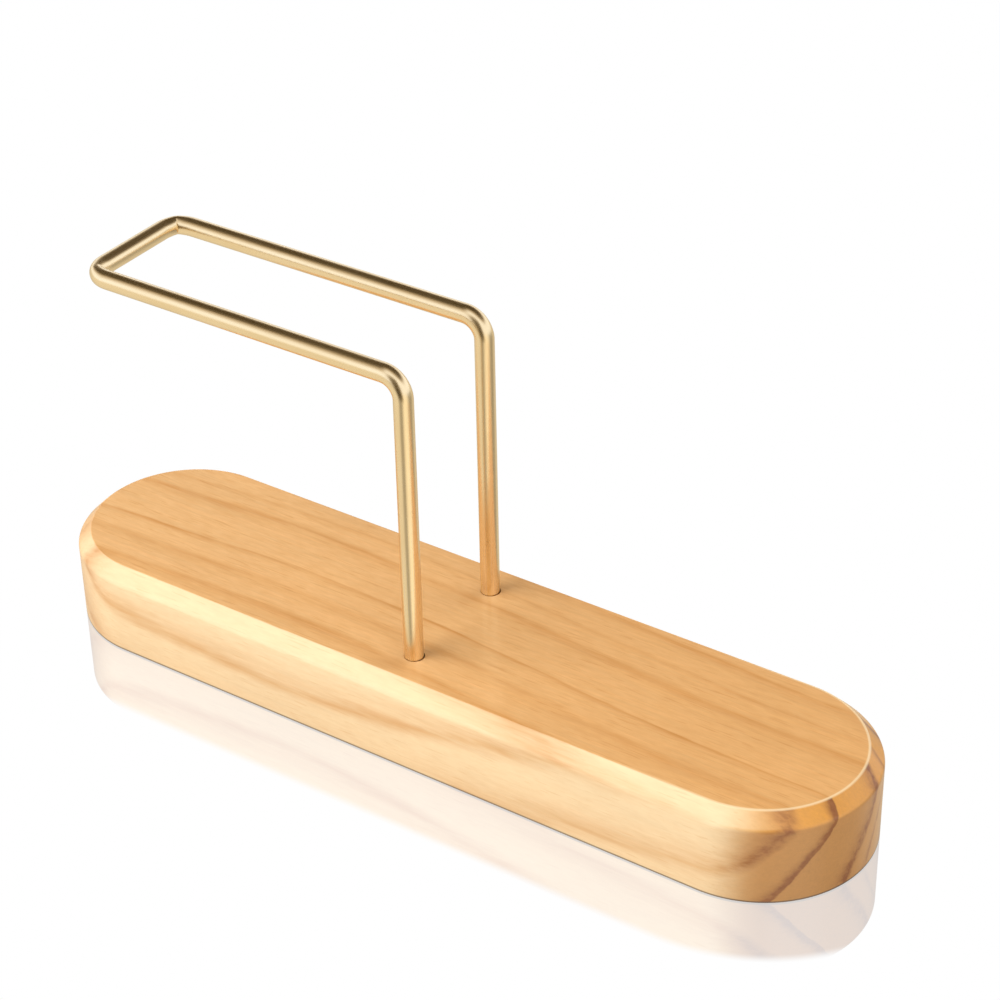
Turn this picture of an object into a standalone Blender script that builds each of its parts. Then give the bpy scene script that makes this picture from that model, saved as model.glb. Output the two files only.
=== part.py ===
"""Coffee filter paper stand: a solid pine base and a plug-in frame of bent brass wire.

Row frame, in metres: the origin is the centre of the base's underside, +X runs along the base towards
the end without the frame, +Z is up. The frame's two legs stand in blind sockets near the middle of the
base. Its arms run towards -X and a cross bar joins them there, so papers stand on edge between the arms.
"""

import math

import bmesh
import bpy
from mathutils import Vector

# ---- driving dimensions --------------------------------------------------------------------------------
BASE_LENGTH = 0.200             # along X, over the two round ends
BASE_WIDTH = 0.050              # along Y; each end is a full half circle
BASE_HEIGHT = 0.0212
BASE_CHAMFER = 0.0031           # flat 45 degree chamfer round the top edge

WIRE_DIAMETER = 0.00425
LEG_SPACING = 0.0286            # between the axes of the two legs
LEG_OFFSET = -0.001             # the legs' plane, from the middle of the base
BAR_INSET = 0.0170              # axis of the cross bar, in from the base's -X end
ARM_CLEARANCE = 0.0657          # free height between the base's top and the underside of the arms
SHOULDER_RADIUS = 0.0048        # centreline of the bend from a leg to its arm
CORNER_INNER_RADIUS = 0.0020    # inside of the tight bend from an arm to the cross bar

SOCKET_DEPTH = 0.015
SOCKET_CLEARANCE = 0.0003       # gap round a leg in its socket, and under its end

# ---- how finely the round shapes are cut ---------------------------------------------------------------
END_STEPS = 40                  # flats in each half-round end of the base
SOCKET_SIDES = 32
SHOULDER_STEPS = 12
CORNER_STEPS = 10
WIRE_BEVEL_RESOLUTION = 4
CUT_OVERRUN = 0.002             # how far a socket cutter stands out of the face that it cuts
WELD_DISTANCE = 0.00001
FLAT_ANGLE = math.radians(0.1)
SHARP_ANGLE = math.radians(30)

# ---- sizes worked out from those -----------------------------------------------------------------------
WIRE_RADIUS = WIRE_DIAMETER / 2
CORNER_RADIUS = WIRE_RADIUS + CORNER_INNER_RADIUS
SOCKET_RADIUS = WIRE_RADIUS + SOCKET_CLEARANCE
LEG_Y = LEG_SPACING / 2
BAR_X = BAR_INSET - BASE_LENGTH / 2
ARM_Z = BASE_HEIGHT + ARM_CLEARANCE + WIRE_RADIUS
SOCKET_FLOOR_Z = BASE_HEIGHT - SOCKET_DEPTH
LEG_END_Z = SOCKET_FLOOR_Z + SOCKET_CLEARANCE

PINE = ("pine", (0.800, 0.540, 0.290), 0.40, 0.0)
BRASS = ("brass_wire", (0.790, 0.560, 0.240), 0.18, 1.0)


def clear_scene():
    """Remove whatever objects the file opened with."""
    for item in list(bpy.data.objects):
        bpy.data.objects.remove(item, do_unlink=True)


def new_collection(name):
    """A collection linked into the scene."""
    collection = bpy.data.collections.new(name)
    bpy.context.scene.collection.children.link(collection)
    return collection


def new_material(name, colour, roughness, metallic):
    """A Principled material with one colour."""
    material = bpy.data.materials.new(name)
    material.use_nodes = True
    shader = material.node_tree.nodes["Principled BSDF"]
    shader.inputs["Base Color"].default_value = (*colour, 1.0)
    shader.inputs["Roughness"].default_value = roughness
    shader.inputs["Metallic"].default_value = metallic
    return material


def arc_points(centre, radius, start, turn, steps):
    """Points on an arc in the XY plane, both ends included; angles are in radians."""
    angles = [start + turn * step / steps for step in range(steps + 1)]
    return [Vector((centre[0] + radius * math.cos(a), centre[1] + radius * math.sin(a), 0)) for a in angles]


def stadium_outline(length, width, steps):
    """A straight-sided outline with half-round ends, anticlockwise, centred on the origin."""
    radius = width / 2
    reach = length / 2 - radius
    near_end = arc_points((reach, 0), radius, -math.pi / 2, math.pi, steps)
    far_end = arc_points((-reach, 0), radius, math.pi / 2, math.pi, steps)
    return near_end + far_end


def rounded_path(corners, bends):
    """A polyline through corners, with each inner corner turned into an arc.

    bends holds one (centreline radius, steps) for each inner corner.
    """
    points = [corners[0]]
    for before, corner, after, (radius, steps) in zip(corners, corners[1:], corners[2:], bends):
        back = (before - corner).normalized()
        ahead = (after - corner).normalized()
        half_angle = back.angle(ahead) / 2
        centre = corner + (back + ahead).normalized() * radius / math.sin(half_angle)
        start = corner + back * radius / math.tan(half_angle) - centre
        end = corner + ahead * radius / math.tan(half_angle) - centre
        sweep = start.angle(end)
        for step in range(steps + 1):
            share = step / steps
            spoke = start * math.sin((1 - share) * sweep) + end * math.sin(share * sweep)
            points.append(centre + spoke / math.sin(sweep))
    points.append(corners[-1])
    return points


def poly_curve(name, points, closed):
    """A curve object with one poly spline through the points, not yet linked to a collection."""
    data = bpy.data.curves.new(name, "CURVE")
    spline = data.splines.new("POLY")
    spline.points.add(len(points) - 1)
    for target, point in zip(spline.points, points):
        target.co = (*point, 1.0)
    spline.use_cyclic_u = closed
    return bpy.data.objects.new(name, data)


def mesh_from_curve(curve, collection):
    """Turn a curve object into a closed mesh object of the same name, and remove the curve."""
    bpy.context.view_layer.update()
    name = curve.name
    placed = curve.matrix_world.copy()
    evaluated = curve.evaluated_get(bpy.context.evaluated_depsgraph_get())
    mesh = bpy.data.meshes.new_from_object(evaluated)
    bpy.data.objects.remove(curve, do_unlink=True)
    shape = bmesh.new()
    shape.from_mesh(mesh)
    bmesh.ops.remove_doubles(shape, verts=shape.verts, dist=WELD_DISTANCE)
    bmesh.ops.recalc_face_normals(shape, faces=shape.faces)
    shape.to_mesh(mesh)
    shape.free()
    mesh.name = name
    solid = bpy.data.objects.new(name, mesh)
    solid.matrix_world = placed
    collection.objects.link(solid)
    return solid


def weight_top_rim(mesh):
    """Join each flat side into one face, and give the top face's outline a bevel weight of one."""
    shape = bmesh.new()
    shape.from_mesh(mesh)
    bmesh.ops.dissolve_limit(shape, angle_limit=FLAT_ANGLE, verts=shape.verts, edges=shape.edges)
    weight = shape.edges.layers.float.new("bevel_weight_edge")
    top = max(vert.co.z for vert in shape.verts)
    for edge in shape.edges:
        level = all(abs(vert.co.z - top) < WELD_DISTANCE for vert in edge.verts)
        wall = any(abs(face.normal.z) < 0.5 for face in edge.link_faces)
        if level and wall:
            edge[weight] = 1.0
    shape.to_mesh(mesh)
    shape.free()


def socket_cutter(name, y, collection):
    """A plain cylinder where one leg's blind socket is drilled."""
    depth = SOCKET_DEPTH + CUT_OVERRUN
    bpy.ops.mesh.primitive_cylinder_add(
        vertices=SOCKET_SIDES, radius=SOCKET_RADIUS, depth=depth,
        location=(LEG_OFFSET, y, SOCKET_FLOOR_Z + depth / 2))
    cutter = bpy.context.object
    cutter.name = name
    for home in list(cutter.users_collection):
        home.objects.unlink(cutter)
    collection.objects.link(cutter)
    cutter.hide_render = True
    cutter.display_type = "WIRE"
    return cutter


def build_base(parts, cutters):
    """The pine base: an extruded stadium, chamfered round its top, with two blind sockets."""
    curve = poly_curve("wood_base", stadium_outline(BASE_LENGTH, BASE_WIDTH, END_STEPS), closed=True)
    curve.data.dimensions = "2D"
    curve.data.fill_mode = "BOTH"
    curve.data.extrude = BASE_HEIGHT / 2
    curve.location.z = BASE_HEIGHT / 2
    parts.objects.link(curve)
    base = mesh_from_curve(curve, parts)
    weight_top_rim(base.data)

    chamfer = base.modifiers.new("top_chamfer", "BEVEL")
    chamfer.limit_method = "WEIGHT"
    chamfer.width = BASE_CHAMFER
    chamfer.segments = 1
    chamfer.use_clamp_overlap = False

    for label, y in (("front", -LEG_Y), ("rear", LEG_Y)):
        socket = base.modifiers.new(f"{label}_socket", "BOOLEAN")
        socket.operation = "DIFFERENCE"
        socket.solver = "EXACT"
        socket.object = socket_cutter(f"{label}_socket_cutter", y, cutters)

    base.data.shade_smooth()
    base.data.set_sharp_from_angle(angle=SHARP_ANGLE)
    base.data.materials.append(new_material(*PINE))
    return base


def build_frame(parts):
    """The brass frame: one wire bent into two legs, two arms and the bar that joins them.

    Its origin is between the legs on the base's top, on the line along which it is pulled out.
    """
    foot_z = LEG_END_Z - BASE_HEIGHT
    arm_z = ARM_Z - BASE_HEIGHT
    bar_x = BAR_X - LEG_OFFSET
    corners = [
        Vector((0, -LEG_Y, foot_z)),
        Vector((0, -LEG_Y, arm_z)),
        Vector((bar_x, -LEG_Y, arm_z)),
        Vector((bar_x, LEG_Y, arm_z)),
        Vector((0, LEG_Y, arm_z)),
        Vector((0, LEG_Y, foot_z)),
    ]
    shoulder = (SHOULDER_RADIUS, SHOULDER_STEPS)
    corner = (CORNER_RADIUS, CORNER_STEPS)
    path = rounded_path(corners, [shoulder, corner, corner, shoulder])
    frame = poly_curve("wire_frame", path, closed=False)
    frame.data.dimensions = "3D"
    frame.data.bevel_depth = WIRE_RADIUS
    frame.data.bevel_resolution = WIRE_BEVEL_RESOLUTION
    frame.data.use_fill_caps = True
    frame.data.splines[0].use_smooth = True
    frame.location = (LEG_OFFSET, 0, BASE_HEIGHT)
    frame.data.materials.append(new_material(*BRASS))
    parts.objects.link(frame)
    return frame


def main():
    """Build the stand."""
    clear_scene()
    parts = new_collection("filter_paper_stand")
    cutters = new_collection("cutters")
    build_base(parts, cutters)
    build_frame(parts)


main()
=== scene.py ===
"""Looks of the coffee filter paper stand: a lacquered pine base and a plug-in frame of bent brass wire.

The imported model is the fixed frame. The base and the wire are made again here as finer meshes in the same
places, and dressed in pine and in brass. Everything is in metres, with +Z up; patterns work in millimetres.
"""

import logging
import math
from dataclasses import dataclass, field
from enum import Enum
from typing import Any, Iterable, Sequence

import bmesh
import bpy
from mathutils import Matrix, Vector

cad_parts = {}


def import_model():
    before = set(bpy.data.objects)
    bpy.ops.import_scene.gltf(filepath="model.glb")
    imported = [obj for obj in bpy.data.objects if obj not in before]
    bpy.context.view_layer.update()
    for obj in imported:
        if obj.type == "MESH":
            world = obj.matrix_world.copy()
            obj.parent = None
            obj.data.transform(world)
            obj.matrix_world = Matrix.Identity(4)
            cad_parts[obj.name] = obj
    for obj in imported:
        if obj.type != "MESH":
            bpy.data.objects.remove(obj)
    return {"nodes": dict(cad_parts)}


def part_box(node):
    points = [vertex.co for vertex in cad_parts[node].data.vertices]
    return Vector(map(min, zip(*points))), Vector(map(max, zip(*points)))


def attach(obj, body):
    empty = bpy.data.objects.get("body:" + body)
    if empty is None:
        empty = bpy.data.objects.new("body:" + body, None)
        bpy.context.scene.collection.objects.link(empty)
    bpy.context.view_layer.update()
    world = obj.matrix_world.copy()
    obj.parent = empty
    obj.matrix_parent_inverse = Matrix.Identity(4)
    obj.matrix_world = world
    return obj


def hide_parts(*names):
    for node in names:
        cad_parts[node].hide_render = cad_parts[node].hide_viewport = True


frame: dict[str, Any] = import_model()

LOG = logging.getLogger("filter_paper_stand")
MM = 0.001
Colour = tuple[float, float, float]


class Body(Enum):
    """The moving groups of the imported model."""

    BASE = "base"
    FRAME = "frame"


class Slot(Enum):
    """The record's material slots."""

    PINE = "pine"
    BRASS = "brass_wire"


class Node(Enum):
    """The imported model's nodes."""

    BASE = "wood_base"
    WIRE = "wire_frame"


# ---- shared helpers ------------------------------------------------------------------------------------


def new_piece(name: str, shape: bmesh.types.BMesh) -> bpy.types.Object:
    """Turn a bmesh into a smooth-shaded object in the scene.

    Args:
        name: the piece's name.
        shape: the finished bmesh, which is freed.

    Returns:
        The new object.
    """
    mesh = bpy.data.meshes.new(name)
    bmesh.ops.recalc_face_normals(shape, faces=shape.faces)
    shape.to_mesh(mesh)
    shape.free()
    mesh.shade_smooth()
    piece = bpy.data.objects.new(name, mesh)
    bpy.context.scene.collection.objects.link(piece)
    return piece


def ring(shape: bmesh.types.BMesh, points: Iterable[Vector]) -> list[bmesh.types.BMVert]:
    """Add a loop of loose vertices to a bmesh and return them in order."""
    return [shape.verts.new(point) for point in points]


def bridge(shape: bmesh.types.BMesh, lower: Sequence[bmesh.types.BMVert],
           upper: Sequence[bmesh.types.BMVert]) -> None:
    """Join two loops of the same length with a band of quads."""
    count = len(lower)
    for index in range(count):
        after = (index + 1) % count
        shape.faces.new((lower[index], lower[after], upper[after], upper[index]))


def loop_edges(shape: bmesh.types.BMesh, loop: Sequence[bmesh.types.BMVert]) -> list[bmesh.types.BMEdge]:
    """The edges of a closed loop of vertices, made where they are missing."""
    edges = []
    for start, end in zip(loop, [*loop[1:], loop[0]]):
        edges.append(shape.edges.get((start, end)) or shape.edges.new((start, end)))
    return edges


def arc(centre: tuple[float, float], radius: float, start: float, end: float,
        steps: int) -> list[tuple[float, float]]:
    """Points along an arc in a plane, both ends included.

    Args:
        centre: the arc's centre.
        radius: its radius.
        start: the first point's angle, in degrees.
        end: the last point's angle, in degrees.
        steps: how many chords it is cut into.

    Returns:
        The points in order.
    """
    angles = [math.radians(start + (end - start) * step / steps) for step in range(steps + 1)]
    return [(centre[0] + radius * math.cos(a), centre[1] + radius * math.sin(a)) for a in angles]


@dataclass(frozen=True)
class Grain:
    """One layer of noise in a finish."""

    frequency: tuple[float, float, float]       # along, across and up, per mm
    detail: float = 2.0
    roughness: float = 0.5


class NodeGraph:
    """Short calls that write one node tree."""

    def __init__(self, tree: bpy.types.NodeTree) -> None:
        """Keep the tree that the calls write to."""
        self.tree = tree

    def node(self, kind: str, inputs: dict[Any, Any] | None = None, **settings: Any) -> bpy.types.Node:
        """Add a node.

        Args:
            kind: the node's type without its "ShaderNode" prefix.
            inputs: what each input takes, a socket to link or a plain value.
            **settings: the node's own properties.

        Returns:
            The new node.
        """
        made = self.tree.nodes.new("ShaderNode" + kind)
        for name, value in settings.items():
            setattr(made, name, value)
        for key, value in (inputs or {}).items():
            self.feed(made.inputs[key], value)
        return made

    def feed(self, socket: bpy.types.NodeSocket, value: Any) -> None:
        """Link a socket to an input, or set the input's plain value."""
        if isinstance(value, bpy.types.NodeSocket):
            self.tree.links.new(value, socket)
        else:
            socket.default_value = value

    def math(self, operation: str, a: Any, b: Any = 0.0, clamp: bool = False) -> bpy.types.NodeSocket:
        """One math operation on two values or sockets."""
        made = self.node("Math", {0: a, 1: b}, operation=operation, use_clamp=clamp)
        return made.outputs[0]

    def vector(self, operation: str, a: Any, b: Any = (0.0, 0.0, 0.0)) -> bpy.types.NodeSocket:
        """One vector operation; a length or a dot product comes back as a value."""
        made = self.node("VectorMath", {0: a, 1: b}, operation=operation)
        return made.outputs["Value" if operation in ("DOT_PRODUCT", "LENGTH") else "Vector"]

    def smooth(self, value: Any, low: float, high: float) -> bpy.types.NodeSocket:
        """A smooth step from 0 at low to 1 at high, which may be the lower number."""
        inputs = {"Value": value, "From Min": low, "From Max": high}
        return self.node("MapRange", inputs, interpolation_type="SMOOTHSTEP").outputs["Result"]

    def rescale(self, value: Any, low: float, high: float, to_low: float,
                to_high: float) -> bpy.types.NodeSocket:
        """A straight-line change of range, held at its ends."""
        inputs = {"Value": value, "From Min": low, "From Max": high, "To Min": to_low, "To Max": to_high}
        return self.node("MapRange", inputs).outputs["Result"]

    def noise(self, place: Any, grain: Grain) -> bpy.types.NodeSocket:
        """Noise from 0 to 1 about 0.5, with its own frequency along each axis."""
        scaled = self.vector("MULTIPLY", place, grain.frequency)
        inputs = {"Vector": scaled, "Scale": 1.0, "Detail": grain.detail, "Roughness": grain.roughness}
        return self.node("TexNoise", inputs).outputs["Fac"]

    def bump(self, height: Any, strength: float, distance: float) -> bpy.types.NodeSocket:
        """The surface's direction, tilted by a height pattern that is distance deep, in metres."""
        made = self.node("Bump", {"Height": height, "Strength": strength, "Distance": distance})
        return made.outputs["Normal"]

    def mix(self, factor: Any, a: Any, b: Any) -> bpy.types.NodeSocket:
        """A mix of two colours, each a socket or three numbers."""
        made = self.node("Mix", data_type="RGBA")
        self.feed(made.inputs["Factor"], factor)
        for socket, colour in ((made.inputs[6], a), (made.inputs[7], b)):
            self.feed(socket, colour if isinstance(colour, bpy.types.NodeSocket) else (*colour, 1.0))
        return made.outputs[2]


def new_material(name: str) -> tuple[bpy.types.Material, NodeGraph, bpy.types.Node]:
    """An empty Principled material.

    Args:
        name: the material's name.

    Returns:
        The material, its node graph, and its Principled shader.
    """
    material = bpy.data.materials.new(name)
    material.use_nodes = True
    graph = NodeGraph(material.node_tree)
    return material, graph, material.node_tree.nodes["Principled BSDF"]


# ---- finishes ------------------------------------------------------------------------------------------


@dataclass(frozen=True)
class GrowthRing:
    """One year's dark latewood line, as it crosses the top of the block."""

    across: float               # where it crosses the top at the crest of the bow, in mm from the middle
    soft: float                 # how far its shade fades towards the pith, in mm
    edge: float                 # how wide its outer edge is, in mm
    strength: float             # how dark it is, from 0 to 1


@dataclass(frozen=True)
class PineFinish:
    """Plain-sawn pine under a satin lacquer, patterned as a solid block with the tree's rings in it."""

    top_level: float                                # height of the block's top, in mm
    half_straight: float                            # from the middle to the centre of a round end, in mm
    arris: float                                    # radius of the top's arris at a round end, in mm
    rings: tuple[GrowthRing, ...] = (
        GrowthRing(-29.0, 3.0, 0.9, 0.55),
        GrowthRing(-17.6, 5.5, 1.6, 0.75),
        GrowthRing(-9.4, 5.5, 1.8, 0.60),
        GrowthRing(-1.6, 2.6, 0.5, 1.00),
        GrowthRing(10.9, 5.0, 1.6, 0.70),
        GrowthRing(16.6, 2.4, 1.0, 0.40),
        GrowthRing(24.5, 4.5, 1.2, 0.70),
        GrowthRing(33.0, 3.0, 1.0, 0.80),
    )
    pith: tuple[float, float] = (-115.0, 70.0)      # the tree's centre across and above the block, in mm
    bow_crest: float = -35.0                        # where along the block the grain bows furthest, in mm
    bow_depth: float = 3.6                          # half of how far it bows, in mm
    bow_length: float = 130.0                       # half a wave of the bow, in mm
    quarter_tone: Colour = (0.792, 0.478, 0.217)    # early wood on a face that cuts the rings squarely
    quarter_near_tone: Colour = (0.762, 0.430, 0.174)   # the same towards the near end, a little darker
    plain_tone_with_painted_sheen: Colour = (0.875, 0.680, 0.415)      # early wood on a face that lies along the rings, paler partly from the grain's figure and partly as a painted sheen
    end_tone: Colour = (0.520, 0.248, 0.072)        # across the ends of the fibres
    end_chamfer_tone: Colour = (0.720, 0.330, 0.060)    # the same on the chamfer, which is more orange
    far_end_painted_light_share: float = 0.25                     # painted light: the share of the end grain's darkening kept at the far end, where the key light falls
    late_tone: Colour = (0.600, 0.275, 0.075)       # late wood along the grain
    end_late_tone: Colour = (0.255, 0.080, 0.020)   # late wood on the ends
    painted_contact_shade_tone: Colour = (0.110, 0.075, 0.050)       # painted contact shade along the very bottom edge
    painted_glint_tone: Colour = (0.960, 0.800, 0.520)     # painted highlight along the near arris
    slow_waver: Grain = Grain((0.014, 0.05, 0.05), 1.0)     # how the rings wander along the block
    quick_waver: Grain = Grain((0.07, 0.35, 0.35))
    slow_reach: float = 4.0                         # and how far they wander, in mm
    quick_reach: float = 1.1
    breaks: Grain = Grain((0.045, 0.5, 0.5), 3.0, 0.6)      # where the late wood runs thin
    fibre: Grain = Grain((0.035, 1.5, 1.5), 4.0, 0.62)
    streak: Grain = Grain((0.16, 2.6, 2.6), 3.0, 0.6)
    mottle: Grain = Grain((0.22, 0.8, 0.8), 3.0, 0.6)
    cloud: Grain = Grain((0.02, 0.09, 0.09))
    fleck: Grain = Grain((0.14, 2.2, 2.2))
    fibre_depth: float = 0.055                      # how far each layer lightens or darkens the wood
    streak_depth: float = 0.050
    cloud_depth: float = 0.040
    mottle_depth: float = 0.26
    fleck_depth: float = 0.38
    painted_contact_shade_depth: float = 0.85
    painted_contact_shade_heights: tuple[float, float] = (0.60, 0.28)        # where the painted contact shade starts and is full, in mm
    late_rise: float = 2.6                          # how sharply a year's wood darkens towards its line
    late_floor: float = 0.45                        # the share of a line's darkness left where it runs thin
    painted_glint_widths: tuple[float, float] = (0.42, 0.10)       # off the arris, where the painted highlight starts and is full
    painted_glint_stretch: tuple[float, float] = (52.0, 80.0)      # along the base, the same
    painted_glint_depth: float = 0.60
    plain_calm: float = 0.40                        # the share of the fine grain left on a plain face
    lacquer: float = 0.75
    lacquer_roughness: float = 0.17
    lacquer_ior: float = 1.55
    wood_gloss: float = 0.20
    wood_roughness: tuple[float, float] = (0.40, 0.52)      # between the fibres and on them
    end_roughening: float = 0.12                    # what an end face adds to it
    bump_strength: float = 0.18
    bump_depth: float = 0.08 * MM

    def bowed(self, graph: NodeGraph, place: Any, x: Any, y: Any) -> bpy.types.NodeSocket:
        """How far across the block a point lies once the grain's bow and waver are taken out, in mm."""
        turn = graph.math("MULTIPLY", graph.math("SUBTRACT", x, self.bow_crest), math.pi / self.bow_length)
        bow = graph.math("MULTIPLY", graph.math("SUBTRACT", graph.math("COSINE", turn), 1.0), self.bow_depth)
        slow = graph.math("SUBTRACT", graph.noise(place, self.slow_waver), 0.5)
        quick = graph.math("SUBTRACT", graph.noise(place, self.quick_waver), 0.5)
        waver = graph.math("ADD", graph.math("MULTIPLY", slow, self.slow_reach),
                           graph.math("MULTIPLY", quick, self.quick_reach))
        return graph.math("ADD", graph.math("SUBTRACT", y, bow), waver)

    def latewood(self, graph: NodeGraph, radius: Any, broken: Any) -> bpy.types.NodeSocket:
        """How much late wood there is at a distance from the pith, from 0 to 1."""
        total: Any = 0.0
        for one in self.rings:
            line_radius = math.hypot(one.across - self.pith[0], self.top_level - self.pith[1])
            past = graph.math("SUBTRACT", radius, line_radius)
            rise = graph.math("POWER", graph.rescale(past, -one.soft, 0.0, 0.0, 1.0), self.late_rise)
            fall = graph.smooth(past, one.edge, -0.1 * one.edge)
            band = graph.math("MULTIPLY", rise, fall)
            kept = graph.rescale(broken, 0.36, 0.62, one.strength * self.late_floor, one.strength)
            total = graph.math("MAXIMUM", total, graph.math("MULTIPLY", band, kept))
        return total

    def painted_arris_glint(self, graph: NodeGraph, split: Any) -> bpy.types.NodeSocket:
        """How strong the painted highlight along the top's arris is, which runs round the near end only."""
        inset = graph.math("SUBTRACT", self.off_axis(graph, split), self.arris)
        line = graph.smooth(graph.math("ABSOLUTE", inset), *self.painted_glint_widths)
        on_top = graph.smooth(split["Z"], self.top_level - 0.5, self.top_level - 0.2)
        line = graph.math("MULTIPLY", line, on_top)
        return graph.math("MULTIPLY", line,
                          graph.rescale(split["X"], *self.painted_glint_stretch, 0.0, self.painted_glint_depth))

    def off_axis(self, graph: NodeGraph, split: Any) -> bpy.types.NodeSocket:
        """Distance in mm from the line between the centres of the two round ends."""
        past = graph.math("SUBTRACT", graph.math("ABSOLUTE", split["X"]), self.half_straight)
        past = graph.math("MAXIMUM", past, 0.0)
        flat = graph.node("CombineXYZ", {"X": past, "Y": split["Y"]}).outputs[0]
        return graph.vector("LENGTH", flat)

    def build(self) -> bpy.types.Material:
        """Write the material.

        Returns:
            The finished material.
        """
        material, graph, shader = new_material("pine_satin")
        coordinates = graph.node("TexCoord")
        normal = coordinates.outputs["Normal"]
        place = graph.vector("MULTIPLY", coordinates.outputs["Object"], (1 / MM,) * 3)
        split = graph.node("SeparateXYZ", {0: place}).outputs

        across = self.bowed(graph, place, split["X"], split["Y"])
        from_pith = graph.node("CombineXYZ", {"Y": graph.math("SUBTRACT", across, self.pith[0]),
                                              "Z": graph.math("SUBTRACT", split["Z"], self.pith[1])})
        radius = graph.vector("LENGTH", from_pith.outputs[0])
        outward = graph.vector("NORMALIZE", from_pith.outputs[0])
        plainness = graph.math("ABSOLUTE", graph.vector("DOT_PRODUCT", outward, normal))
        plain = graph.smooth(plainness, 0.50, 1.00)
        calm = graph.rescale(plain, 0.0, 1.0, 1.0, self.plain_calm)
        late = self.latewood(graph, radius, graph.noise(place, self.breaks))
        fibre = graph.noise(place, self.fibre)
        end_grain_and_painted_light = self.end_grain_and_painted_light(graph, split, normal)

        colour = self.ring_colour(graph, split, normal, plain, end_grain_and_painted_light, late)
        colour = self.with_grain(graph, place, colour, fibre, calm, end_grain_and_painted_light)
        colour = self.with_painted_glint_and_shade(graph, split, colour)
        graph.feed(shader.inputs["Base Color"], colour)

        rough = graph.math("ADD", graph.rescale(fibre, 0.3, 0.7, *self.wood_roughness),
                           graph.math("MULTIPLY", end_grain_and_painted_light, self.end_roughening))
        graph.feed(shader.inputs["Roughness"], rough)
        height = graph.math("SUBTRACT", fibre, graph.math("MULTIPLY", late, 0.5))
        graph.feed(shader.inputs["Normal"], graph.bump(height, self.bump_strength, self.bump_depth))
        shader.inputs["Coat Weight"].default_value = self.lacquer
        shader.inputs["Coat Roughness"].default_value = self.lacquer_roughness
        shader.inputs["Coat IOR"].default_value = self.lacquer_ior
        shader.inputs["Specular IOR Level"].default_value = self.wood_gloss
        return material

    def end_grain_and_painted_light(self, graph: NodeGraph, split: Any, normal: Any) -> bpy.types.NodeSocket:
        """How far a face cuts across the ends of the fibres, with painted light weakening it towards the far
        end.
        """
        facing = graph.node("SeparateXYZ", {0: normal}).outputs
        across = graph.smooth(graph.math("ABSOLUTE", facing["X"]), 0.10, 0.55)
        # painted light: the far end's end grain is kept lighter, as if the key light fell on it
        darkening_under_painted_light = graph.rescale(split["X"], -self.half_straight, self.half_straight, self.far_end_painted_light_share, 1.0)
        return graph.math("MULTIPLY", across, darkening_under_painted_light)

    def ring_colour(self, graph: NodeGraph, split: Any, normal: Any, plain: Any, end_grain_and_painted_light: Any,
                    late: Any) -> bpy.types.NodeSocket:
        """The wood's colour from its growth rings, before the finer grain, with a painted sheen in the tone
        of faces along the rings.

        Args:
            graph: the material's node graph.
            split: the place in the block, separated, in mm.
            normal: the surface's direction.
            plain: how far the face lies along the rings, from 0 to 1.
            end_grain_and_painted_light: how far it cuts across the fibres, from 0 to 1, with painted light
                weakening it towards the far end.
            late: how much late wood there is, from 0 to 1.

        Returns:
            The colour.
        """
        nearing = graph.rescale(split["X"], -self.half_straight, self.half_straight, 0.0, 1.0)
        quarter = graph.mix(nearing, self.quarter_tone, self.quarter_near_tone)
        sloped = graph.smooth(graph.node("SeparateXYZ", {0: normal}).outputs["Z"], 0.20, 0.60)
        end_early = graph.mix(sloped, self.end_tone, self.end_chamfer_tone)
        # faces along the rings, the front among them, take the paler tone: partly grain figure, partly
        # painted sheen
        early = graph.mix(end_grain_and_painted_light, graph.mix(plain, quarter, self.plain_tone_with_painted_sheen), end_early)
        dark = graph.mix(end_grain_and_painted_light, self.late_tone, self.end_late_tone)
        lined = graph.math("MULTIPLY", late, graph.math("ADD", 1.0, end_grain_and_painted_light), clamp=True)
        return graph.mix(lined, early, dark)

    def with_grain(self, graph: NodeGraph, place: Any, colour: Any, fibre: Any, calm: Any,
                   end_grain_and_painted_light: Any) -> bpy.types.NodeSocket:
        """Lay the fibres, streaks, mottling and flecks over the rings.

        Args:
            graph: the material's node graph.
            place: the place in the block, in mm.
            colour: the colour of the rings.
            fibre: the noise that runs with the fibres.
            calm: the share of the fine grain that shows.
            end_grain_and_painted_light: how far the face cuts across the fibres, from 0 to 1, with painted
                light weakening it towards the far end.

        Returns:
            The colour.
        """
        streak = graph.noise(place, self.streak)
        mottle = graph.noise(place, self.mottle)
        cloud = graph.noise(place, self.cloud)
        fleck = graph.smooth(graph.noise(place, self.fleck), 0.60, 0.70)
        grain = graph.math("ADD", graph.rescale(fibre, 0.25, 0.75, -self.fibre_depth, self.fibre_depth),
                           graph.rescale(streak, 0.25, 0.75, -self.streak_depth, self.streak_depth))
        tint = graph.math("ADD", graph.math("MULTIPLY", grain, calm),
                          graph.rescale(cloud, 0.3, 0.7, 1.0 - self.cloud_depth, 1.0 + self.cloud_depth))
        scaled = graph.vector("SCALE", colour)
        graph.feed(scaled.node.inputs["Scale"], tint)
        warmth = graph.math("MULTIPLY", graph.rescale(mottle, 0.35, 0.70, 0.0, self.mottle_depth), calm)
        colour = graph.mix(warmth, scaled, self.late_tone)
        fleck = graph.math("MULTIPLY", fleck, graph.math("SUBTRACT", 1.0, end_grain_and_painted_light))
        fleck = graph.math("MULTIPLY", fleck, graph.math("MULTIPLY", calm, self.fleck_depth))
        return graph.mix(fleck, colour, self.late_tone)

    def with_painted_glint_and_shade(self, graph: NodeGraph, split: Any, colour: Any) -> bpy.types.NodeSocket:
        """Paint a highlight along the near arris and a contact shade along the very bottom edge."""
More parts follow.
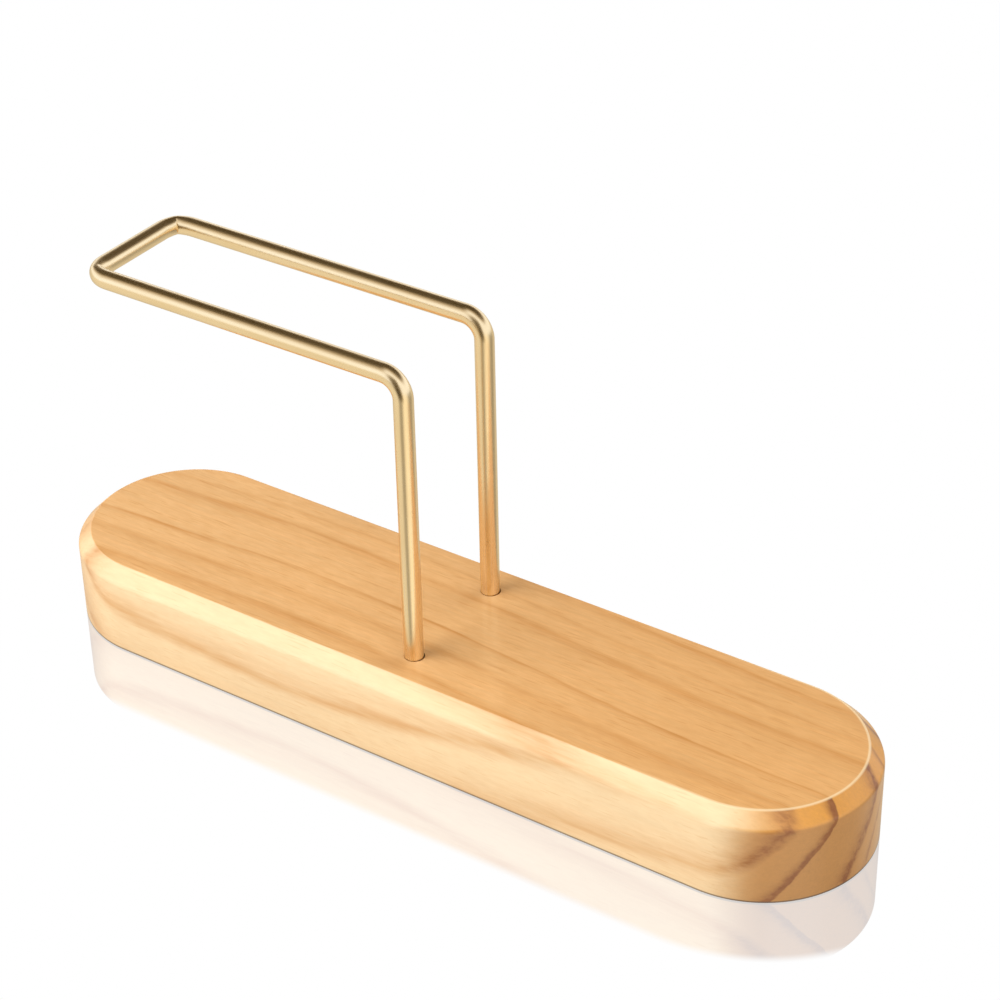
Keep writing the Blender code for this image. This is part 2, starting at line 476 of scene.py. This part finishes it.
        # painted highlight: a thin pale line along the top's arris round the near end
        colour = graph.mix(self.painted_arris_glint(graph, split), colour, self.painted_glint_tone)
        # painted contact shade: the base's lowest fraction of a millimetre darkened where it meets the floor
        painted_contact_shade = graph.math("MULTIPLY", graph.smooth(split["Z"], *self.painted_contact_shade_heights), self.painted_contact_shade_depth)
        return graph.mix(painted_contact_shade, colour, self.painted_contact_shade_tone)


@dataclass(frozen=True)
class BrassFinish:
    """Polished brass wire with the fine lines that drawing leaves along it."""

    tone: Colour = (0.905, 0.765, 0.535)
    deep_tone: Colour = (0.865, 0.705, 0.450)
    roughness: float = 0.27
    drawn: Grain = Grain((0.05, 5.0, 5.0), 4.0, 0.6)        # the lines that drawing leaves
    cloud: Grain = Grain((0.06, 0.3, 0.3), 3.0, 0.55)
    bump_strength: float = 0.10
    bump_depth: float = 0.03 * MM

    def build(self) -> bpy.types.Material:
        """Write the material.

        Returns:
            The finished material.
        """
        material, graph, shader = new_material("brass_polished")
        place = graph.node("Attribute", attribute_name=WireFrame.PLACE).outputs["Vector"]
        drawn = graph.noise(place, self.drawn)
        cloud = graph.noise(place, self.cloud)
        graph.feed(shader.inputs["Base Color"],
                   graph.mix(graph.rescale(cloud, 0.3, 0.7, 0.0, 0.7), self.tone, self.deep_tone))
        rough = graph.math("ADD", graph.rescale(drawn, 0.3, 0.7, -0.03, 0.03),
                           graph.rescale(cloud, 0.3, 0.7, self.roughness - 0.02, self.roughness + 0.03))
        graph.feed(shader.inputs["Roughness"], rough)
        graph.feed(shader.inputs["Normal"], graph.bump(drawn, self.bump_strength, self.bump_depth))
        shader.inputs["Metallic"].default_value = 1.0
        return material


@dataclass(frozen=True)
class FloorFinish:
    """A bright white table that mirrors the base faintly, and only close to it."""

    white: float = 1.0
    mirror: float = 0.40
    full: float = 14.6 * MM     # how far from the base the mirroring keeps its full strength
    fade: float = 17.4 * MM     # and where it has died away

    def build(self, half_length: float, end_radius: float) -> bpy.types.Material:
        """Write the material.

        Args:
            half_length: from the base's middle to the centre of an end's half circle.
            end_radius: that half circle's radius.

        Returns:
            The finished material.
        """
        material, graph, shader = new_material("white_table")
        material.node_tree.nodes.remove(shader)
        place = graph.node("SeparateXYZ", {0: graph.node("TexCoord").outputs["Object"]}).outputs
        along = graph.math("SUBTRACT", graph.math("ABSOLUTE", place["X"]), half_length)
        along = graph.math("MAXIMUM", along, 0.0)
        flat = graph.node("CombineXYZ", {"X": along, "Y": place["Y"]}).outputs[0]
        away = graph.math("SUBTRACT", graph.vector("LENGTH", flat), end_radius)
        share = graph.math("MULTIPLY", graph.smooth(away, self.fade, self.full), self.mirror)
        glow = graph.node("Emission", {"Color": (1.0, 1.0, 1.0, 1.0), "Strength": self.white})
        gloss = graph.node("BsdfGlossy", {"Color": (1.0, 1.0, 1.0, 1.0), "Roughness": 0.0})
        both = graph.node("MixShader", {0: share, 1: glow.outputs[0], 2: gloss.outputs[0]})
        output = material.node_tree.nodes["Material Output"]
        graph.feed(output.inputs["Surface"], both.outputs[0])
        return material


# ---- the stand's two pieces ----------------------------------------------------------------------------


@dataclass
class PineBase:
    """The solid pine base, with its chamfered top and the two holes that take the frame's legs."""

    low: Vector
    high: Vector
    chamfer: float = 3.1 * MM
    top_round: float = 0.45 * MM        # rounding where the chamfer meets the top
    side_round: float = 1.6 * MM        # and where it meets the side
    foot_round: float = 0.15 * MM       # rounding of the bottom edge
    hole_radius: float = 2.23 * MM
    hole_depth: float = 15.0 * MM
    hole_rim: float = 0.06 * MM         # the countersunk lip that the drill leaves
    hole_shift: tuple[float, float] = (0.075 * MM, 0.045 * MM)      # from each leg's middle to its hole's
    hole_x: float = 0.0
    hole_y: float = 0.0
    end_steps: int = 72
    hole_steps: int = 64

    CHAMFER_ANGLE = 45.0                # in degrees

    @property
    def end_radius(self) -> float:
        """Radius of the half circle at each end."""
        return (self.high.y - self.low.y) / 2

    @property
    def half_straight(self) -> float:
        """From the middle to the centre of an end's half circle."""
        return (self.high.x - self.low.x) / 2 - self.end_radius

    @property
    def arris_radius(self) -> float:
        """Radius of the top's arris at a round end, within its rounding."""
        return self.end_radius - self.chamfer - self.top_round / 3

    def outline(self, inset: float, z: float) -> list[Vector]:
        """The base's outline at one height, drawn in by inset all round."""
        radius = self.end_radius - inset
        near = arc((self.half_straight, 0.0), radius, -90, 90, self.end_steps)
        far = arc((-self.half_straight, 0.0), radius, 90, 270, self.end_steps)
        return [Vector((x, y, z)) for x, y in near + far]

    def section(self) -> list[tuple[float, float]]:
        """The edge's section from the underside to the top, as (inset, height) pairs."""
        height = self.high.z
        slope = math.tan(math.radians(self.CHAMFER_ANGLE / 2))
        side_reach = self.side_round * slope
        top_reach = self.top_round * slope
        points = arc((self.foot_round, self.foot_round), self.foot_round, 270, 180, 5)
        side_centre = (self.side_round, height - self.chamfer - side_reach)
        points += arc(side_centre, self.side_round, 180, 135, 8)
        top_centre = (self.chamfer + top_reach, height - self.top_round)
        points += arc(top_centre, self.top_round, 135, 90, 6)
        return points

    def add_hole(self, shape: bmesh.types.BMesh, y: float) -> list[bmesh.types.BMVert]:
        """Add one blind hole's lip, wall and bottom.

        Args:
            shape: the bmesh to add to.
            y: the hole's place across the base.

        Returns:
            The loop where the hole meets the top face.
        """
        top = self.high.z
        centre = (self.hole_x + self.hole_shift[0], y + self.hole_shift[1])

        def circle(radius: float, z: float) -> list[bmesh.types.BMVert]:
            """One loop of the hole."""
            points = arc(centre, radius, 0, 360, self.hole_steps)[:-1]
            return ring(shape, [Vector((px, py, z)) for px, py in points])

        mouth = circle(self.hole_radius + self.hole_rim, top)
        lip = circle(self.hole_radius, top - self.hole_rim)
        foot = circle(self.hole_radius, top - self.hole_depth)
        bridge(shape, lip, mouth)
        bridge(shape, foot, lip)
        shape.faces.new(foot)
        return mouth

    def build(self) -> bpy.types.Object:
        """Make the base's mesh.

        Returns:
            The base as one closed object.
        """
        shape = bmesh.new()
        loops = [ring(shape, self.outline(inset, z)) for inset, z in self.section()]
        for lower, upper in zip(loops, loops[1:]):
            bridge(shape, lower, upper)
        shape.faces.new(loops[0])
        edges = loop_edges(shape, loops[-1])
        for y in (-self.hole_y, self.hole_y):
            edges += loop_edges(shape, self.add_hole(shape, y))
        bmesh.ops.triangle_fill(shape, use_beauty=True, edges=edges, normal=(0, 0, 1))
        piece = new_piece("pine_base", shape)
        piece.data.set_sharp_from_angle(angle=math.radians(40))
        weighted = piece.modifiers.new("flat_faces", "WEIGHTED_NORMAL")
        weighted.keep_sharp = True
        weighted.weight = 100
        return piece

    def dress(self, piece: bpy.types.Object, finish: PineFinish) -> None:
        """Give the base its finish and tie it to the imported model."""
        piece.data.materials.append(finish.build())
        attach(piece, Body.BASE.value)
        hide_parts(Node.BASE.value)


@dataclass(frozen=True)
class WireStation:
    """One place along the wire: its middle, and how the bend flattens it there."""

    point: Vector
    flat: Vector = field(default_factory=lambda: Vector((0.0, 0.0, 0.0)))      # which way it is flattened
    thickness: float = 1.0              # as a share of the full thickness


@dataclass
class WireFrame:
    """The brass frame: one wire bent into two legs, two arms and the bar between them."""

    low: Vector
    high: Vector
    radius: float = 2.125 * MM
    shoulder: float = 4.8 * MM          # centreline radius of the bend from a leg to its arm
    corner: float = 5.0 * MM            # centreline radius of the far corners, before they are pinched
    pinch: float = 0.5 * MM             # inside radius of a far corner, where the tight bend thins the wire
    sides: int = 48
    bend_steps: int = 24
    straight_step: float = 4.0 * MM

    PLACE = "wire_place"                # a vertex attribute: mm along the wire, and round its section

    @property
    def leg_x(self) -> float:
        """The legs' place along the base."""
        return self.high.x - self.radius

    @property
    def leg_y(self) -> float:
        """How far each leg stands from the middle of the base's width."""
        return self.high.y - self.radius

    def corners(self) -> list[Vector]:
        """The wire's ends and the points where its straights would meet."""
        far_x = self.low.x + self.radius
        top = self.high.z - self.radius
        foot = self.low.z
        leg = self.leg_x
        side = self.leg_y
        return [Vector((leg, -side, foot)), Vector((leg, -side, top)), Vector((far_x, -side, top)),
                Vector((far_x, side, top)), Vector((leg, side, top)), Vector((leg, side, foot))]

    def inner_reach(self, turn: float) -> float:
        """From a far corner's bend centre to the wire's inner side, at an angle into the bend.

        Args:
            turn: the angle in radians, from 0 to a right angle.

        Returns:
            The distance to a straight side, or to the small rounding between the two sides.
        """
        straight = self.corner - self.radius
        offset = straight - self.pinch
        shallow = min(turn, math.pi / 2 - turn)
        if math.tan(shallow) < offset / straight:
            return straight / math.cos(shallow)
        spread = offset * (math.cos(turn) + math.sin(turn))
        return spread + math.sqrt(spread ** 2 - 2 * offset ** 2 + self.pinch ** 2)

    def stations(self) -> list[WireStation]:
        """Stations along the wire, close together in its bends and pinched in the two far ones."""
        points = self.corners()
        bends = [self.shoulder, self.corner, self.corner, self.shoulder]
        line = [WireStation(points[0])]
        for before, corner, after, radius in zip(points, points[1:], points[2:], bends):
            back = (before - corner).normalized()
            ahead = (after - corner).normalized()
            centre = corner + (back + ahead) * radius
            for step in range(self.bend_steps + 1):
                turn = math.pi / 2 * step / self.bend_steps
                out = -ahead * math.cos(turn) - back * math.sin(turn)
                inner = radius - self.radius
                if radius == self.corner:
                    inner = self.inner_reach(turn)
                middle = (radius + self.radius + inner) / 2
                thickness = radius + self.radius - inner
                line.append(WireStation(centre + out * middle, out, thickness / (2 * self.radius)))
        line.append(WireStation(points[-1]))
        return self.subdivided(line)

    def subdivided(self, line: list[WireStation]) -> list[WireStation]:
        """The same stations with more of them along the straights."""
        cut = [line[0]]
        for start, end in zip(line, line[1:]):
            pieces = max(1, round((end.point - start.point).length / self.straight_step))
            for step in range(1, pieces):
                cut.append(WireStation(start.point.lerp(end.point, step / pieces)))
            cut.append(end)
        return cut

    def build(self) -> bpy.types.Object:
        """Make the wire's mesh.

        Returns:
            The wire as one closed object, with its PLACE attribute.
        """
        line = self.stations()
        shape = bmesh.new()
        layer = shape.verts.layers.float_vector.new(self.PLACE)
        aheads = [(after.point - before.point).normalized() for before, after in zip(line, line[1:])]
        aheads.append(aheads[-1])
        side = Vector((0, 1, 0))
        loops = []
        along = 0.0
        for index, station in enumerate(line):
            tangent = (aheads[max(index - 1, 0)] + aheads[index]).normalized()
            side = (side - tangent * side.dot(tangent)).normalized()
            across = tangent.cross(side)
            if index:
                along += (station.point - line[index - 1].point).length
            loop = []
            for step in range(self.sides):
                angle = 2 * math.pi * step / self.sides
                sideways = self.radius * math.cos(angle)
                upward = self.radius * math.sin(angle)
                out = side * sideways + across * upward
                out -= station.flat * out.dot(station.flat) * (1 - station.thickness)
                vert = shape.verts.new(station.point + out)
                vert[layer] = (along / MM, sideways / MM, upward / MM)
                loop.append(vert)
            loops.append(loop)
        for lower, upper in zip(loops, loops[1:]):
            bridge(shape, lower, upper)
        shape.faces.new(loops[0])
        shape.faces.new(loops[-1])
        piece = new_piece("brass_frame", shape)
        piece.data.set_sharp_from_angle(angle=math.radians(60))
        return piece

    def dress(self, piece: bpy.types.Object, finish: BrassFinish) -> None:
        """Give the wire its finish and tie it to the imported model."""
        piece.data.materials.append(finish.build())
        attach(piece, Body.FRAME.value)
        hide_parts(Node.WIRE.value)


# ---- the studio ----------------------------------------------------------------------------------------


@dataclass(frozen=True)
class Softbox:
    """A square softbox that hangs facing the stand."""

    name: str
    towards: tuple[float, float, float]     # the direction from the stand to it
    distance: float                         # in metres
    size: float                             # the length of its side, in metres
    power: float                            # in watts

    def hang(self) -> None:
        """Add the light to the scene."""
        data = bpy.data.lights.new(self.name, "AREA")
        data.shape = "SQUARE"
        data.size = self.size
        data.energy = self.power
        lamp = bpy.data.objects.new(self.name, data)
        direction = Vector(self.towards).normalized()
        lamp.location = direction * self.distance
        lamp.rotation_mode = "QUATERNION"
        lamp.rotation_quaternion = direction.to_track_quat("Z", "Y")
        lamp.visible_glossy = False
        bpy.context.scene.collection.objects.link(lamp)


@dataclass(frozen=True)
class Bearing:
    """A stretch of the room's compass, with soft ends."""

    towards: tuple[float, float]    # its middle, as x and y
    outer: float                    # the angle from the middle beyond which it has ended, in degrees
    inner: float                    # and the angle within which it is full

    def share(self, graph: NodeGraph, way: Any) -> bpy.types.NodeSocket:
        """How far a direction lies in it, from 0 to 1."""
        flat = graph.node("CombineXYZ", {"X": way["X"], "Y": way["Y"]}).outputs[0]
        middle = Vector((*self.towards, 0.0)).normalized()
        match = graph.vector("DOT_PRODUCT", graph.vector("NORMALIZE", flat), tuple(middle))
        return graph.smooth(match, math.cos(math.radians(self.outer)), math.cos(math.radians(self.inner)))


@dataclass(frozen=True)
class Room:
    """A bright room with a dark ceiling, which comes lower behind the stand than in front of it.

    Heights are the upward part of a direction, from -1 straight down to 1 straight up.
    """

    eaves: tuple[float, float] = (0.34, 0.44)       # where the ceiling starts, behind and in front
    ceiling: tuple[float, float] = (0.62, 1.12)     # and where it is full
    lean: float = 0.15                              # how far both rise towards the base's near end
    wall_light: float = 1.20
    ceiling_light: float = 0.075
    window: tuple[float, float] = (-0.38, -0.10)    # in front, the ceiling gives way to light from here on
    floor_light: tuple[float, float] = (0.74, 0.92)     # below eye level, behind and in front
    shade: Bearing = Bearing((0.13, -0.99), 26.0, 6.0)
    shade_change: float = -0.42                     # what each bearing adds to the light below eye level
    glow: Bearing = Bearing((0.81, -0.59), 38.0, 14.0)
    glow_change: float = 0.30
    side: Bearing = Bearing((0.89, 0.45), 30.0, 8.0)
    side_change: float = -0.34
    upright: Bearing = Bearing((0.33, -0.94), 30.0, 12.0)   # a dark upright band in front of the stand
    upright_top: tuple[float, float] = (0.85, 0.55)
    upright_foot: tuple[float, float] = (-0.50, -0.25)
    upright_light: float = 0.10
    wall_tone: Colour = (1.0, 1.0, 1.0)
    ceiling_tone: Colour = (1.0, 0.66, 0.24)
    floor_tone: Colour = (1.0, 0.89, 0.68)
    upright_tone: Colour = (1.0, 0.70, 0.28)
    seen_tone: Colour = (1.0, 1.0, 1.0)             # what the camera and a perfect mirror see instead

    def overhead(self, graph: NodeGraph, split: Any, front: Any) -> bpy.types.NodeSocket:
        """How far a direction points at the dark ceiling, from 0 to 1."""
        lean = graph.math("MULTIPLY", split["X"], self.lean)
        eaves = graph.math("ADD", graph.rescale(front, 0.0, 1.0, *self.eaves), lean)
        ceiling = graph.math("ADD", graph.rescale(front, 0.0, 1.0, *self.ceiling), lean)
        above = graph.node("MapRange", {"Value": split["Z"], "From Min": eaves, "From Max": ceiling},
                           interpolation_type="SMOOTHSTEP").outputs["Result"]
        window = graph.math("MULTIPLY", graph.smooth(split["X"], *self.window), front)
        return graph.math("MULTIPLY", above, graph.math("SUBTRACT", 1.0, window))

    def underfoot(self, graph: NodeGraph, split: Any, front: Any) -> bpy.types.NodeSocket:
        """How bright the room is below eye level."""
        level = graph.rescale(front, 0.0, 1.0, *self.floor_light)
        for bearing, change in ((self.shade, self.shade_change), (self.glow, self.glow_change),
                                (self.side, self.side_change)):
            level = graph.math("ADD", level, graph.math("MULTIPLY", bearing.share(graph, split), change))
        return level

    def build(self) -> None:
        """Write the world and make it the scene's."""
        world = bpy.data.worlds.new("room")
        world.use_nodes = True
        graph = NodeGraph(world.node_tree)
        split = graph.node("SeparateXYZ", {0: graph.node("TexCoord").outputs["Generated"]}).outputs
        front = graph.smooth(split["Y"], 0.30, -0.45)
        above = self.overhead(graph, split, front)
        below = graph.smooth(split["Z"], 0.02, -0.06)
        upright = graph.math("MULTIPLY", self.upright.share(graph, split),
                             graph.smooth(split["Z"], *self.upright_top))
        upright = graph.math("MULTIPLY", upright, graph.smooth(split["Z"], *self.upright_foot))

        tone = graph.mix(above, self.wall_tone, self.ceiling_tone)
        tone = graph.mix(below, tone, self.floor_tone)
        tone = graph.mix(upright, tone, self.upright_tone)
        walls = graph.rescale(above, 0.0, 1.0, self.wall_light, self.ceiling_light)
        light = graph.math("ADD", graph.math("MULTIPLY", below, self.underfoot(graph, split, front)),
                           graph.math("MULTIPLY", graph.math("SUBTRACT", 1.0, below), walls))
        light = graph.math("MULTIPLY", light, graph.rescale(upright, 0.0, 1.0, 1.0, self.upright_light))

        path = graph.node("LightPath").outputs
        seen = graph.math("MAXIMUM", path["Is Camera Ray"], path["Is Singular Ray"])
        unseen = graph.math("MULTIPLY", graph.math("SUBTRACT", 1.0, seen), light)
        background = world.node_tree.nodes["Background"]
        graph.feed(background.inputs["Color"], graph.mix(seen, tone, self.seen_tone))
        graph.feed(background.inputs["Strength"], graph.math("ADD", unseen, seen))
        bpy.context.scene.world = world


@dataclass
class Studio:
    """The camera, the lights, the white table and the room that the brass mirrors."""

    azimuth: float = 34.76              # camera's angles, in degrees
    elevation: float = 32.95
    roll: float = -1.18
    distance: float = 0.6614
    aim: Vector = field(default_factory=lambda: Vector((-0.03826, 0.07242, 0.0)))
    lens: float = 97.34                 # in mm, on a sensor 36 mm wide
    sensor: float = 36.0
    table_size: float = 6.0
    room: Room = Room()
    softboxes: tuple[Softbox, ...] = (
        Softbox("key_softbox", (-0.48, -0.56, 0.68), 1.1, 0.8, 9.0),
        Softbox("rim_softbox", (0.25, 0.45, 0.86), 1.2, 0.6, 3.0),
    )

    def add_camera(self) -> None:
        """Place the camera and make it the scene's."""
        azimuth, elevation, roll = (math.radians(a) for a in (self.azimuth, self.elevation, self.roll))
        back = Vector((math.sin(azimuth) * math.cos(elevation), -math.cos(azimuth) * math.cos(elevation),
                       math.sin(elevation)))
        right = Vector((math.cos(azimuth), math.sin(azimuth), 0.0))
        up = back.cross(right)
        tilted_right = right * math.cos(roll) + up * math.sin(roll)
        tilted_up = up * math.cos(roll) - right * math.sin(roll)
        turned = Matrix((tilted_right, tilted_up, back)).transposed().to_4x4()
        data = bpy.data.cameras.new("camera")
        data.lens = self.lens
        data.sensor_width = self.sensor
        data.clip_start = 0.01
        data.clip_end = 50.0
        camera = bpy.data.objects.new("camera", data)
        camera.matrix_world = Matrix.Translation(self.aim + back * self.distance) @ turned
        bpy.context.scene.collection.objects.link(camera)
        bpy.context.scene.camera = camera

    def add_table(self, base: PineBase) -> None:
        """Lay the white table that the stand is on."""
        shape = bmesh.new()
        bmesh.ops.create_grid(shape, x_segments=2, y_segments=2, size=self.table_size / 2)
        table = new_piece("table", shape)
        table.data.materials.append(FloorFinish().build(base.half_straight, base.end_radius))
        table.visible_glossy = False

    def build(self, base: PineBase) -> None:
        """Set up everything that isn't the stand."""
        self.add_camera()
        self.room.build()
        for softbox in self.softboxes:
            softbox.hang()
        self.add_table(base)
        bpy.context.scene.view_settings.view_transform = "Standard"


def main() -> None:
    """Build the stand piece by piece, then the studio round it."""
    logging.basicConfig(level=logging.INFO, format="%(message)s")
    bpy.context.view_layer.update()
    wire = WireFrame(*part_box(Node.WIRE.value))
    base = PineBase(*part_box(Node.BASE.value), hole_x=wire.leg_x, hole_y=wire.leg_y)
    pine = PineFinish(top_level=base.high.z / MM, half_straight=base.half_straight / MM,
                      arris=base.arris_radius / MM)

    for part, finish in ((base, pine), (wire, BrassFinish())):
        piece = part.build()
        part.dress(piece, finish)
        LOG.info("%s: %d faces", piece.name, len(piece.data.polygons))
    Studio().build(base)


if __name__ == "__main__":
    main()
